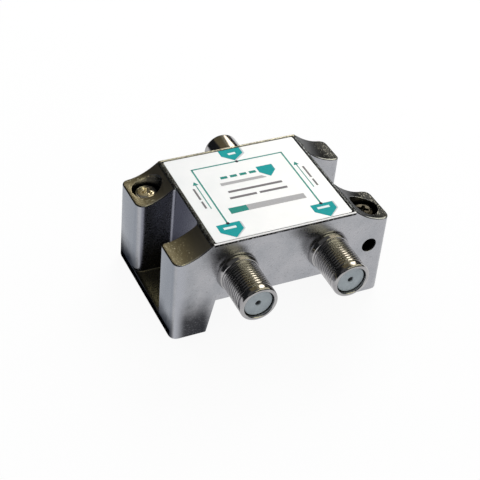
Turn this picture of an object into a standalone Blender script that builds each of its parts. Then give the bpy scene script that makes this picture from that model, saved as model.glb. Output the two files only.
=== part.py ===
"""Two-way rf power splitter for coaxial cable: die-cast housing, three F ports, circuit inside.

Metres, +Z up. X runs along the front face, +Y points to the input side, and the origin is the
centre of the footprint, at the height of the soles.
"""
import math

import bpy
import bmesh
from mathutils import Matrix, Vector

MM = 0.001

# Housing, seen from the front as a bridge on two feet
PLATFORM_HALF_X = 18.7 * MM
HOUSING_HALF_Y = 17.0 * MM
ARCH_HEIGHT = 9.6 * MM
BODY_HEIGHT = 17.0 * MM
EAR_HALF_X = 27.7 * MM
EAR_SPLAY = 0.55 * MM
EAR_DROP = 3.75 * MM
EAR_SWOOP_X = 8.1 * MM
EAR_SWOOP_POWER = 1.8
ARCH_HALF_TOP = 17.0 * MM
ARCH_HALF_SOLE = 19.0 * MM
DRAFT_X = 0.15 * MM
DRAFT_Y = 0.3 * MM
CORNER_RADIUS = 1.8 * MM

# Side pockets: the ear that holds a screw is deeper than the plain one
SCREW_EAR_INNER_Y = 5.7 * MM
SCREW_EAR_ROUND = 1.9 * MM
PLAIN_EAR_INNER_Y = 8.3 * MM
PLAIN_EAR_ROUND = 1.0 * MM
POCKET_FLOOR = 2.4 * MM
POCKET_DRAFT = 0.4 * MM
POCKET_FILLET = 0.7 * MM
POCKET_BITE = 0.05 * MM

# Cavity under the platform, with its cover
WALL = 2.0 * MM
SIDE_WALL = 2.8 * MM
ROOF = 2.0 * MM
COVER_THICKNESS = 0.8 * MM
COVER_LEDGE = 0.5 * MM
RIB_DEPTH = 1.4 * MM
RIB_HALF_Y = 3.0 * MM

# Label in its shallow tray
LABEL_THICKNESS = 0.2 * MM
TRAY_DEPTH = 0.6 * MM
TRAY_RIM_X = 0.75 * MM
TRAY_RIM_Y = 0.5 * MM

# F ports
PORT_RISE = 7.4 * MM
OUTPUT_X = 11.9 * MM
INPUT_X = 4.0 * MM
PORT_LENGTH = 12.0 * MM
THREAD_RADIUS = 4.7 * MM
THREAD_RELIEF = 0.35 * MM
PORT_BORE_RADIUS = 3.65 * MM
PORT_BORE_CHAMFER = 0.15 * MM
TIP_CHAMFER = 0.45 * MM
COLLAR_RADIUS = 5.2 * MM
COLLAR_LENGTH = 1.2 * MM
NECK_RADIUS = 4.2 * MM
TIP_RING_LENGTH = 1.7 * MM
INPUT_SLEEVE_LENGTH = 6.8 * MM
CONTACT_RADIUS = 1.0 * MM
CONTACT_BORE_RADIUS = 0.55 * MM
ENTRY_RADIUS = 0.75 * MM
INSULATOR_RECESS = 0.6 * MM
INSULATOR_FRONT = 1.5 * MM
CONTACT_PIN_RADIUS = 0.4 * MM
CONTACT_PIN_LENGTH = 1.6 * MM
CONTACT_BORE_DEPTH = 6.0 * MM

# Ground clamps: a screw from above crosses a hole for the wire
SCREW_SHIFT_X = 0.3 * MM
SCREW_SHIFT_Y = 0.45 * MM
COUNTERBORE_RADIUS = 3.65 * MM
HEAD_RADIUS = 2.9 * MM
HEAD_HEIGHT = 2.2 * MM
HEAD_SINK = 0.25 * MM
HEAD_CROWN = 0.7 * MM
SHANK_RADIUS = 1.95 * MM
CROSS_ARM = 1.6 * MM
CROSS_SLOT = 0.38 * MM
CROSS_DEPTH = 1.3 * MM
WIRE_HOLE_DROP = 7.55 * MM
WIRE_HOLE_RADIUS = 1.95 * MM
WIRE_HOLE_DEPTH = 8.5 * MM

# Circuit board and what stands on it
BOARD_BELOW_PORT = 1.6 * MM
BOARD_THICKNESS = 1.0 * MM
WIRE_RADIUS = 0.2 * MM
MATCHING_RADIUS = 1.5 * MM
MATCHING_LENGTH = 4.0 * MM
MATCHING_HOLE_RADIUS = 0.75 * MM
CORE_MAJOR = 2.6 * MM
CORE_MINOR = 0.9 * MM
CHOKE_RADIUS = 0.8 * MM
CHOKE_LENGTH = 6.0 * MM
CAPACITOR_RADIUS = 1.9 * MM
CAPACITOR_THICKNESS = 1.6 * MM
CAPACITOR_LIFT = 1.2 * MM
LEAD_SPREAD = 1.0 * MM
RESISTOR_LENGTH = 3.4 * MM
RESISTOR_RADIUS = 0.85 * MM

# Clearances
GAP = 0.3 * MM
LOOSE = 0.4 * MM

# Derived places
HOUSING_HEIGHT = ARCH_HEIGHT + BODY_HEIGHT
EAR_HEIGHT = HOUSING_HEIGHT - EAR_DROP
PORT_HEIGHT = ARCH_HEIGHT + PORT_RISE
BOARD_TOP = PORT_HEIGHT - BOARD_BELOW_PORT
SCREW_X = (PLATFORM_HALF_X + EAR_HALF_X) / 2 + SCREW_SHIFT_X
SCREW_Y = (SCREW_EAR_INNER_Y + HOUSING_HALF_Y) / 2 + SCREW_SHIFT_Y
HEAD_TOP = EAR_HEIGHT - HEAD_SINK
WIRE_HOLE_HEIGHT = EAR_HEIGHT - WIRE_HOLE_DROP
CAVITY_HALF_X = PLATFORM_HALF_X - SIDE_WALL
CAVITY_HALF_Y = HOUSING_HALF_Y - WALL
CEILING = HOUSING_HEIGHT - ROOF
COVER_DEPTH = COVER_THICKNESS + 2 * GAP
BOARD_HALF_X = CAVITY_HALF_X - LOOSE
BOARD_HALF_Y = CAVITY_HALF_Y - 3 * LOOSE
INSULATOR_RADIUS = PORT_BORE_RADIUS - GAP
INSULATOR_TAIL = 2 * LOOSE


def wall_y(z):
    """Half depth of the housing at height z: the walls lean out towards the soles."""
    return HOUSING_HALF_Y + DRAFT_Y * (1 - z / HOUSING_HEIGHT)


def ear_x(side, y):
    """Half width of the housing at its top: each side splays towards its ear with a screw."""
    return EAR_HALF_X + EAR_SPLAY * (0.5 - 0.5 * side * y / HOUSING_HALF_Y)


def ear_round(side, end, inner_y, radius):
    """Plan of a tool that rounds an ear where its pocket face meets its outer face."""
    outer = ear_x(side, end * inner_y)
    points = []
    for i in range(5):
        turn = math.radians(20 * i)
        points.append((outer - radius + radius * math.sin(turn),
                       end * (inner_y + radius - radius * math.cos(turn))))
    # The last side runs on past the outer face, so that the tool cuts it at an angle
    run = 2 * radius
    points.append((points[-1][0] + run * math.cos(turn), points[-1][1] + end * run * math.sin(turn)))
    points.append((2 * EAR_HALF_X, points[-1][1]))
    return [(side * x, y) for x, y in points]


def material(name, colour, metallic, roughness):
    made = bpy.data.materials.new(name)
    made.use_nodes = True
    shader = made.node_tree.nodes["Principled BSDF"]
    shader.inputs["Base Color"].default_value = (*colour, 1.0)
    shader.inputs["Metallic"].default_value = metallic
    shader.inputs["Roughness"].default_value = roughness
    made.diffuse_color = (*colour, 1.0)
    return made


def add_object(name, bm, finish=None, smooth=False):
    """Turn a bmesh into an object in the scene, with its faces pointing out."""
    bmesh.ops.recalc_face_normals(bm, faces=bm.faces)
    mesh = bpy.data.meshes.new(name)
    bm.to_mesh(mesh)
    bm.free()
    if smooth:
        mesh.shade_smooth()
        mesh.set_sharp_from_angle(angle=math.radians(35))
    obj = bpy.data.objects.new(name, mesh)
    bpy.context.scene.collection.objects.link(obj)
    if finish is not None:
        mesh.materials.append(finish)
    return obj


def combine(obj, tool, operation="DIFFERENCE"):
    """Cut the tool out of an object, or weld it on, and take the tool away."""
    tool.hide_render = True
    tool.display_type = "WIRE"
    modifier = obj.modifiers.new(operation.title(), "BOOLEAN")
    modifier.operation = operation
    modifier.solver = "EXACT"
    modifier.object = tool
    bpy.context.view_layer.update()
    graph = bpy.context.evaluated_depsgraph_get()
    result = bpy.data.meshes.new_from_object(obj.evaluated_get(graph))
    result.name = obj.name
    obj.modifiers.clear()
    obj.data = result
    bpy.data.objects.remove(tool)


def polygon_prism(points, direction):
    """A closed prism: the polygon's points in space, pushed along a vector."""
    bm = bmesh.new()
    face = bm.faces.new([bm.verts.new(p) for p in points])
    pushed = bmesh.ops.extrude_face_region(bm, geom=[face])
    moved = [v for v in pushed["geom"] if isinstance(v, bmesh.types.BMVert)]
    bmesh.ops.translate(bm, verts=moved, vec=direction)
    return bm


def box(x0, x1, y0, y1, z0, z1):
    points = [(x0, y0, z0), (x1, y0, z0), (x1, y1, z0), (x0, y1, z0)]
    return polygon_prism(points, (0, 0, z1 - z0))


def lathe(profile, segments, closed=False):
    """Spin a profile of (radius, height) pairs about Z."""
    bm = bmesh.new()
    verts = [bm.verts.new((r, 0, z)) for r, z in profile]
    pairs = list(zip(verts, verts[1:]))
    if closed:
        pairs.append((verts[-1], verts[0]))
    edges = [bm.edges.new(pair) for pair in pairs]
    bmesh.ops.spin(bm, geom=verts + edges, cent=(0, 0, 0), axis=(0, 0, 1), dvec=(0, 0, 0),
                   angle=2 * math.pi, steps=segments, use_merge=True)
    bmesh.ops.remove_doubles(bm, verts=bm.verts, dist=0.002 * MM)
    return bm


def transform(bm, matrix):
    bmesh.ops.transform(bm, matrix=matrix, verts=bm.verts)
    return bm


def edges_along_z(bm, test):
    """Upright edges whose middle passes a test."""
    found = []
    for edge in bm.edges:
        a, b = edge.verts
        run = (b.co - a.co).normalized()
        if abs(run.z) > 0.99 and test((a.co + b.co) / 2):
            found.append(edge)
    return found


def tube(name, points, radius, finish, sides=2):
    """A wire swept along points, with capped ends, turned into a mesh."""
    curve = bpy.data.curves.new(name, "CURVE")
    curve.dimensions = "3D"
    curve.bevel_depth = radius
    curve.bevel_resolution = sides - 1
    curve.use_fill_caps = True
    spline = curve.splines.new("POLY")
    spline.points.add(len(points) - 1)
    for point, place in zip(spline.points, points):
        point.co = (*place, 1.0)
    carrier = bpy.data.objects.new(name + "_path", curve)
    bpy.context.scene.collection.objects.link(carrier)
    bpy.context.view_layer.update()
    graph = bpy.context.evaluated_depsgraph_get()
    mesh = bpy.data.meshes.new_from_object(carrier.evaluated_get(graph))
    bpy.data.objects.remove(carrier)
    bm = bmesh.new()
    bm.from_mesh(mesh)
    bpy.data.meshes.remove(mesh)
    bmesh.ops.remove_doubles(bm, verts=bm.verts, dist=0.002 * MM)
    return add_object(name, bm, finish, smooth=True)


def swoop(side, steps=7):
    """The ear's hollowed top, from the platform's edge down to the flat, as (x, z) pairs."""
    drop = HOUSING_HEIGHT - EAR_HEIGHT
    points = []
    for i in range(steps + 1):
        along = i / steps
        z = EAR_HEIGHT + drop * (1 - along) ** EAR_SWOOP_POWER
        points.append((side * (PLATFORM_HALF_X + EAR_SWOOP_X * along), z))
    return points


def make_housing(finish):
    # The plan, a rectangle with round corners whose walls lean out downwards
    bm = box(-EAR_HALF_X, EAR_HALF_X, -HOUSING_HALF_Y, HOUSING_HALF_Y, 0, HOUSING_HEIGHT)
    corners = edges_along_z(bm, lambda c: True)
    bmesh.ops.bevel(bm, geom=corners, offset=CORNER_RADIUS, segments=4, profile=0.5,
                    affect="EDGES")
    for vert in bm.verts:
        lean = 1 - vert.co.z / HOUSING_HEIGHT
        side = math.copysign(1, vert.co.x)
        vert.co.x += side * (ear_x(side, vert.co.y) - EAR_HALF_X + DRAFT_X * lean)
        vert.co.y += math.copysign(DRAFT_Y * lean, vert.co.y)
    housing = add_object("housing", bm, finish)

    # The arch between the feet and the hollowed ear tops, cut from front to back
    far = 2 * EAR_HALF_X
    deep = 2 * HOUSING_HALF_Y
    lean = (ARCH_HALF_SOLE - ARCH_HALF_TOP) / ARCH_HEIGHT
    sill = ARCH_HALF_SOLE + lean * LOOSE
    arch = [(-sill, -LOOSE), (sill, -LOOSE), (ARCH_HALF_TOP, ARCH_HEIGHT),
            (-ARCH_HALF_TOP, ARCH_HEIGHT)]
    combine(housing, add_object("arch_tool", polygon_prism(
        [(x, -deep, z) for x, z in arch], (0, 2 * deep, 0))))
    for side in (-1, 1):
        over = swoop(side)
        over += [(side * far, EAR_HEIGHT), (side * far, HOUSING_HEIGHT + LOOSE),
                 (side * PLATFORM_HALF_X, HOUSING_HEIGHT + LOOSE)]
        combine(housing, add_object("swoop_tool", polygon_prism(
            [(x, -deep, z) for x, z in over], (0, 2 * deep, 0))))

    # A pocket on each side leaves a deep ear with a screw and a shallow plain one
    for side in (-1, 1):
        inner_top = PLATFORM_HALF_X - POCKET_BITE
        inner_floor = inner_top + POCKET_DRAFT
        rise = HOUSING_HEIGHT - POCKET_FLOOR
        plan = [(side * inner_floor, -side * SCREW_EAR_INNER_Y)]
        plan += ear_round(side, -side, SCREW_EAR_INNER_Y, SCREW_EAR_ROUND)
        plan += reversed(ear_round(side, side, PLAIN_EAR_INNER_Y, PLAIN_EAR_ROUND))
        plan += [(side * inner_floor, side * PLAIN_EAR_INNER_Y)]
        bm = polygon_prism([(x, y, POCKET_FLOOR) for x, y in plan], (0, 0, 2 * rise))
        inner = [v for v in bm.verts if abs(v.co.x) < inner_floor + POCKET_BITE]
        for vert in inner:
            if vert.co.z > HOUSING_HEIGHT:
                vert.co.x = side * (inner_top - POCKET_DRAFT)
        corners = [e for e in bm.edges if all(v in inner for v in e.verts)
                   and abs(e.verts[0].co.z - e.verts[1].co.z) > rise]
        bmesh.ops.bevel(bm, geom=corners, offset=POCKET_FILLET, segments=3, profile=0.5,
                        affect="EDGES")
        combine(housing, add_object("pocket_tool", bm))

    # The cavity opens downwards, with a rib on each side wall that stops the board
    rib_x = CAVITY_HALF_X - RIB_DEPTH
    rib_foot = BOARD_TOP + GAP
    combine(housing, add_object("cover_tool", box(
        -CAVITY_HALF_X - COVER_LEDGE, CAVITY_HALF_X + COVER_LEDGE,
        -CAVITY_HALF_Y - COVER_LEDGE, CAVITY_HALF_Y + COVER_LEDGE,
        ARCH_HEIGHT - LOOSE, ARCH_HEIGHT + COVER_DEPTH)))
    combine(housing, add_object("lower_tool", box(
        -CAVITY_HALF_X, CAVITY_HALF_X, -CAVITY_HALF_Y, CAVITY_HALF_Y,
        ARCH_HEIGHT + COVER_DEPTH - LOOSE, rib_foot)))
    plan = [(-CAVITY_HALF_X, -CAVITY_HALF_Y), (CAVITY_HALF_X, -CAVITY_HALF_Y),
            (CAVITY_HALF_X, -RIB_HALF_Y), (rib_x, -RIB_HALF_Y), (rib_x, RIB_HALF_Y),
            (CAVITY_HALF_X, RIB_HALF_Y), (CAVITY_HALF_X, CAVITY_HALF_Y),
            (-CAVITY_HALF_X, CAVITY_HALF_Y), (-CAVITY_HALF_X, RIB_HALF_Y),
            (-rib_x, RIB_HALF_Y), (-rib_x, -RIB_HALF_Y), (-CAVITY_HALF_X, -RIB_HALF_Y)]
    points = [(x, y, rib_foot - LOOSE) for x, y in plan]
    # The last of the lower part is cut again, so that the two tools share no face
    combine(housing, add_object("upper_tool", polygon_prism(
        points, (0, 0, CEILING - rib_foot + LOOSE))))

    # Tray for the label
    tray_x = PLATFORM_HALF_X - TRAY_RIM_X
    tray_y = HOUSING_HALF_Y - TRAY_RIM_Y
    combine(housing, add_object("tray_tool", box(
        -tray_x, tray_x, -tray_y, tray_y,
        HOUSING_HEIGHT - TRAY_DEPTH, HOUSING_HEIGHT + TRAY_DEPTH)))

    # Holes for the ports, two in front and one behind
    reach = 2 * WALL
    for x, way in ((-OUTPUT_X, -1), (OUTPUT_X, -1), (INPUT_X, 1)):
        bm = lathe([(0, 0), (NECK_RADIUS + GAP, 0), (NECK_RADIUS + GAP, 2 * reach),
                    (0, 2 * reach)], 32)
        turn = Matrix.Rotation(-way * 0.5 * math.pi, 4, "X")
        place = Matrix.Translation((x, way * (CAVITY_HALF_Y - reach / 2), PORT_HEIGHT))
        combine(housing, add_object("port_tool", transform(bm, place @ turn)))

    # Ground clamps: counterbore and tapped hole from above, wire hole from the face
    floor = HEAD_TOP - HEAD_HEIGHT - GAP
    tap_end = WIRE_HOLE_HEIGHT - WIRE_HOLE_RADIUS - 2 * LOOSE
    tap_radius = SHANK_RADIUS + GAP
    for side in (-1, 1):
        bm = lathe([(0, tap_end - tap_radius / 2), (tap_radius, tap_end), (tap_radius, floor),
                    (COUNTERBORE_RADIUS, floor), (COUNTERBORE_RADIUS, 2 * HOUSING_HEIGHT),
                    (0, 2 * HOUSING_HEIGHT)], 32)
        place = Matrix.Translation((side * SCREW_X, -side * SCREW_Y, 0))
        combine(housing, add_object("clamp_tool", transform(bm, place)))
        bm = lathe([(0, 0), (WIRE_HOLE_RADIUS, 0), (WIRE_HOLE_RADIUS, 2 * WIRE_HOLE_DEPTH),
                    (0, 2 * WIRE_HOLE_DEPTH)], 24)
        turn = Matrix.Rotation(side * 0.5 * math.pi, 4, "X")
        start = wall_y(WIRE_HOLE_HEIGHT) - WIRE_HOLE_DEPTH
        place = Matrix.Translation((side * SCREW_X, -side * start, WIRE_HOLE_HEIGHT))
        combine(housing, add_object("wire_tool", transform(bm, place @ turn)))
    housing.data.shade_smooth()
    housing.data.set_sharp_from_angle(angle=math.radians(32))
    return housing


def make_cover(finish):
    half_x = CAVITY_HALF_X + COVER_LEDGE - GAP
    half_y = CAVITY_HALF_Y + COVER_LEDGE - GAP
    bm = box(-half_x, half_x, -half_y, half_y, 0, COVER_THICKNESS)
    corners = edges_along_z(bm, lambda c: True)
    bmesh.ops.bevel(bm, geom=corners, offset=GAP, segments=2, profile=0.5, affect="EDGES")
    cover = add_object("bottom_cover", bm, finish)
    cover.location.z = ARCH_HEIGHT + GAP
    return cover


def make_label(finish):
    half_x = PLATFORM_HALF_X - TRAY_RIM_X - GAP
    half_y = HOUSING_HALF_Y - TRAY_RIM_Y - GAP
    bm = box(-half_x, half_x, -half_y, half_y, 0, LABEL_THICKNESS)
    corners = edges_along_z(bm, lambda c: True)
    bmesh.ops.bevel(bm, geom=corners, offset=LOOSE, segments=3, profile=0.5, affect="EDGES")
    label = add_object("label", bm, finish)
    label.location.z = HOUSING_HEIGHT - TRAY_DEPTH + GAP
    return label


def port_matrix(x, way):
    """Place of a port whose axis is Z from tip to root before it is turned."""
    tip = Matrix.Translation((x, way * (wall_y(PORT_HEIGHT) + PORT_LENGTH), PORT_HEIGHT))
    return tip @ Matrix.Rotation(way * 0.5 * math.pi, 4, "X")


def make_shell(name, x, way, ring, finish):
    """Turned body of a port: tip ring, threaded barrel, collar against the wall, neck in it."""
    edge = THREAD_RELIEF
    relief = THREAD_RADIUS - THREAD_RELIEF
    collar_end = PORT_LENGTH - GAP
    collar_start = collar_end - COLLAR_LENGTH
    neck_end = PORT_LENGTH + wall_y(PORT_HEIGHT) - CAVITY_HALF_Y - GAP
    barrel = ring + edge
    root = collar_start - 2 * edge
    profile = [(PORT_BORE_RADIUS, PORT_BORE_CHAMFER),
               (PORT_BORE_RADIUS + PORT_BORE_CHAMFER, 0),
               (THREAD_RADIUS - TIP_CHAMFER, 0), (THREAD_RADIUS, TIP_CHAMFER),
               (THREAD_RADIUS, ring), (relief, ring), (relief, barrel),
               (THREAD_RADIUS, barrel + edge), (THREAD_RADIUS, root - edge), (relief, root),
               (relief, collar_start), (COLLAR_RADIUS, collar_start),
               (COLLAR_RADIUS, collar_end), (NECK_RADIUS, collar_end),
               (NECK_RADIUS, neck_end), (PORT_BORE_RADIUS, neck_end)]
    bm = transform(lathe(profile, 32, closed=True), port_matrix(x, way))
    return add_object(name, bm, finish, smooth=True)


def make_insulator(name, x, way, finish):
    """Plastic bush that carries the contact, with a small entry hole for the cable's wire."""
    rear = PORT_LENGTH + wall_y(PORT_HEIGHT) - CAVITY_HALF_Y + INSULATOR_TAIL
    face = INSULATOR_RECESS
    front = face + INSULATOR_FRONT
    bore = CONTACT_RADIUS + GAP
    profile = [(ENTRY_RADIUS + GAP, face), (INSULATOR_RADIUS, face), (INSULATOR_RADIUS, rear),
               (bore, rear), (bore, front), (ENTRY_RADIUS, front), (ENTRY_RADIUS, face + GAP)]
    bm = transform(lathe(profile, 24, closed=True), port_matrix(x, way))
    return add_object(name, bm, finish, smooth=True)


def make_contact(name, x, way, finish):
    """Spring contact: a tube that grips the cable's wire, and a tail down to the board."""
    start = INSULATOR_RECESS + INSULATOR_FRONT + GAP
    rear = PORT_LENGTH + wall_y(PORT_HEIGHT) - CAVITY_HALF_Y + INSULATOR_TAIL + LOOSE
    tail_end = rear + CONTACT_PIN_LENGTH
    pin = CONTACT_PIN_RADIUS
    profile = [(0, start + CONTACT_BORE_DEPTH),
               (CONTACT_BORE_RADIUS, start + CONTACT_BORE_DEPTH),
               (CONTACT_BORE_RADIUS, start), (CONTACT_RADIUS, start), (CONTACT_RADIUS, rear),
               (pin, rear), (pin, tail_end), (0, tail_end)]
    bm = transform(lathe(profile, 16), port_matrix(x, way))
    contact = add_object(name, bm, finish, smooth=True)
    drop = PORT_HEIGHT - BOARD_TOP - GAP
    bm = lathe([(0, 0), (pin * 0.8, 0), (pin * 0.8, drop), (0, drop)], 12)
    along = wall_y(PORT_HEIGHT) + PORT_LENGTH - tail_end + pin * 1.2
    place = Matrix.Translation((x, way * along, BOARD_TOP + GAP))
    combine(contact, add_object("tail_tool", transform(bm, place)), "UNION")
    return contact


def make_screw(name, side, finish):
    """Pan-head clamp screw with a cross recess and a blunt tip."""
    crown = HEAD_CROWN
    under = HEAD_TOP - HEAD_HEIGHT
    tip = WIRE_HOLE_HEIGHT + WIRE_HOLE_RADIUS - LOOSE
    profile = [(0, tip), (SHANK_RADIUS * 0.6, tip), (SHANK_RADIUS, tip + SHANK_RADIUS * 0.4),
               (SHANK_RADIUS, under), (HEAD_RADIUS, under)]
    steps = 4
    for i in range(steps + 1):
        angle = 0.5 * math.pi * i / steps
        radius = HEAD_RADIUS * (0.62 + 0.38 * math.cos(angle))
        profile.append((radius, HEAD_TOP - crown + crown * math.sin(angle)))
    profile.append((0, HEAD_TOP))
    screw = add_object(name, lathe(profile, 24), finish, smooth=True)
    # The cross is cut by a four-pointed star that narrows downwards
    arm = CROSS_ARM
    slot = CROSS_SLOT
    depth = CROSS_DEPTH
    star = []
    for i in range(4):
        turn = Matrix.Rotation(0.5 * math.pi * i, 4, "Z")
        star.append(turn @ Vector((arm, -slot, HEAD_TOP + LOOSE)))
        star.append(turn @ Vector((arm, slot, HEAD_TOP + LOOSE)))
        star.append(turn @ Vector((slot, slot, HEAD_TOP + LOOSE)))
    bm = polygon_prism(star, (0, 0, -depth - LOOSE))
    for vert in bm.verts:
        if vert.co.z < HEAD_TOP:
            vert.co.x *= 0.55
            vert.co.y *= 0.55
    bmesh.ops.rotate(bm, verts=bm.verts, cent=(0, 0, 0), matrix=Matrix.Rotation(0.5, 3, "Z"))
    combine(screw, add_object("cross_tool", bm))
    screw.location = (side * SCREW_X, -side * SCREW_Y, 0)
    return screw


def make_board(finish):
    bm = box(-BOARD_HALF_X, BOARD_HALF_X, -BOARD_HALF_Y, BOARD_HALF_Y,
             BOARD_TOP - BOARD_THICKNESS, BOARD_TOP)
    return add_object("circuit_board", bm, finish)


def make_matching_core(x, y, finish):
    """Two-hole ferrite block with round ends; the holes run along Y."""
    radius = MATCHING_RADIUS
    half = radius - LOOSE / 4
    outline = []
    for side in (1, -1):
        for i in range(9):
            angle = side * math.pi * (0.5 - i / 8)
            outline.append((side * (half + radius * math.cos(angle)),
                            radius * math.sin(angle)))
    length = MATCHING_LENGTH
    middle = BOARD_TOP + GAP + radius
    bm = polygon_prism([(px, -length / 2, pz) for px, pz in outline], (0, length, 0))
    core = add_object("matching_core", bm, finish, smooth=True)
    for side in (-1, 1):
        hole = lathe([(0, -length), (MATCHING_HOLE_RADIUS, -length),
                      (MATCHING_HOLE_RADIUS, length), (0, length)], 12)
        turn = Matrix.Rotation(0.5 * math.pi, 4, "X")
        place = Matrix.Translation((side * half, 0, 0))
        combine(core, add_object("hole_tool", transform(hole, place @ turn)))
    core.location = (x, y, middle)
    # One wire runs out through a hole, over the end and back through the other
    reach = length / 2 + GAP + WIRE_RADIUS
    foot = BOARD_TOP + GAP
    path = [(x - half, y - reach, foot), (x - half, y - reach, middle),
            (x - half, y + reach, middle), (x + half, y + reach, middle),
            (x + half, y - reach, middle), (x + half, y - reach, foot)]
    return core, path


def make_ring_core(x, y, finish):
    """Ferrite ring lying above the board, clear of the turns that pass under it."""
    height = BOARD_TOP + GAP + 2 * WIRE_RADIUS + GAP + CORE_MINOR
    rings = 20
    sides = 8
    bm = bmesh.new()
    loops = []
    for i in range(rings):
        turn = 2 * math.pi * i / rings
        loop = []
        for j in range(sides):
            roll = 2 * math.pi * (j + 0.5) / sides
            radius = CORE_MAJOR + CORE_MINOR * math.cos(roll)
            loop.append(bm.verts.new((radius * math.cos(turn), radius * math.sin(turn),
                                      CORE_MINOR * math.sin(roll))))
        loops.append(loop)
    for i in range(rings):
        near = loops[i]
        far = loops[(i + 1) % rings]
        for j in range(sides):
            k = (j + 1) % sides
            bm.faces.new((near[j], near[k], far[k], far[j]))
    core = add_object("splitting_core", bm, finish, smooth=True)
    core.location = (x, y, height)
    # The winding goes round the ring's section as it travels round the ring
    turns = 7
    per_turn = 8
    around = CORE_MINOR + GAP + WIRE_RADIUS
    path = []
    count = turns * per_turn
    for i in range(count + 1):
        travel = math.radians(300) * i / count
        roll = -0.5 * math.pi + 2 * math.pi * i / per_turn
        radius = CORE_MAJOR + around * 1.06 * math.cos(roll)
        path.append((x + radius * math.cos(travel), y + radius * math.sin(travel),
                     height + around * 1.06 * math.sin(roll)))
    return core, path


def make_choke_core(name, x, y, finish):
    profile = [(0, 0), (CHOKE_RADIUS, 0), (CHOKE_RADIUS, CHOKE_LENGTH), (0, CHOKE_LENGTH)]
    bm = lathe(profile, 16)
    height = BOARD_TOP + GAP + 2 * WIRE_RADIUS + GAP + CHOKE_RADIUS
    turn = Matrix.Rotation(-0.5 * math.pi, 4, "X")
    place = Matrix.Translation((x, y - CHOKE_LENGTH / 2, height))
    core = add_object(name, transform(bm, place @ turn), finish, smooth=True)
    turns = 5
    per_turn = 8
    around = (CHOKE_RADIUS + GAP + WIRE_RADIUS) * 1.05
    length = CHOKE_LENGTH * 0.7
    path = []
    for i in range(turns * per_turn + 1):
        roll = -0.5 * math.pi + 2 * math.pi * i / per_turn
        along = y - length / 2 + length * i / (turns * per_turn)
        path.append((x + around * math.cos(roll), along, height + around * math.sin(roll)))
    return core, path


def make_capacitor(name, x, y, turn_deg, finish):
    """Ceramic disc capacitor standing on its two leads."""
    radius = CAPACITOR_RADIUS
    half = CAPACITOR_THICKNESS / 2
    steps = 4
    profile = []
    for i in range(steps + 1):
        angle = -0.5 * math.pi + math.pi * i / steps
        profile.append((radius - half + half * math.cos(angle), half * math.sin(angle)))
    profile = [(0, -half)] + profile + [(0, half)]
    lift = CAPACITOR_LIFT
    bm = transform(lathe(profile, 20), Matrix.Rotation(0.5 * math.pi, 4, "X"))
    body = add_object(name, bm, finish, smooth=True)
    spread = LEAD_SPREAD
    for side in (-1, 1):
        lead = lathe([(0, -radius - lift), (WIRE_RADIUS * 1.3, -radius - lift),
                      (WIRE_RADIUS * 1.3, 0), (0, 0)], 8)
        lead = transform(lead, Matrix.Translation((side * spread, 0, 0)))
        combine(body, add_object("lead_tool", lead), "UNION")
    body.location = (x, y, BOARD_TOP + GAP + lift + radius)
    body.rotation_euler.z = math.radians(turn_deg)
    return body


def make_resistor(x, y, finish):
    """Axial resistor along X, with its leads bent down to the board."""
    length = RESISTOR_LENGTH
    cap = RESISTOR_RADIUS
    waist = cap * 0.82
    band = length * 0.26
    profile = [(0, -length / 2), (cap * 0.7, -length / 2), (cap, -length / 2 + cap * 0.3),
               (cap, -length / 2 + band), (waist, -length / 2 + band * 1.3),
               (waist, length / 2 - band * 1.3), (cap, length / 2 - band),
               (cap, length / 2 - cap * 0.3), (cap * 0.7, length / 2), (0, length / 2)]
    height = BOARD_TOP + GAP + cap
    turn = Matrix.Rotation(0.5 * math.pi, 4, "Y")
    bm = transform(lathe(profile, 16), Matrix.Translation((x, y, height)) @ turn)
    body = add_object("balance_resistor", bm, finish, smooth=True)
    reach = length / 2 + LEAD_SPREAD
    foot = BOARD_TOP + GAP
    lead = tube("lead_tool", [(x - reach, y, foot), (x - reach, y, height),
                              (x + reach, y, height), (x + reach, y, foot)],
                WIRE_RADIUS, None)
    combine(body, lead, "UNION")
    return body


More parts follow.
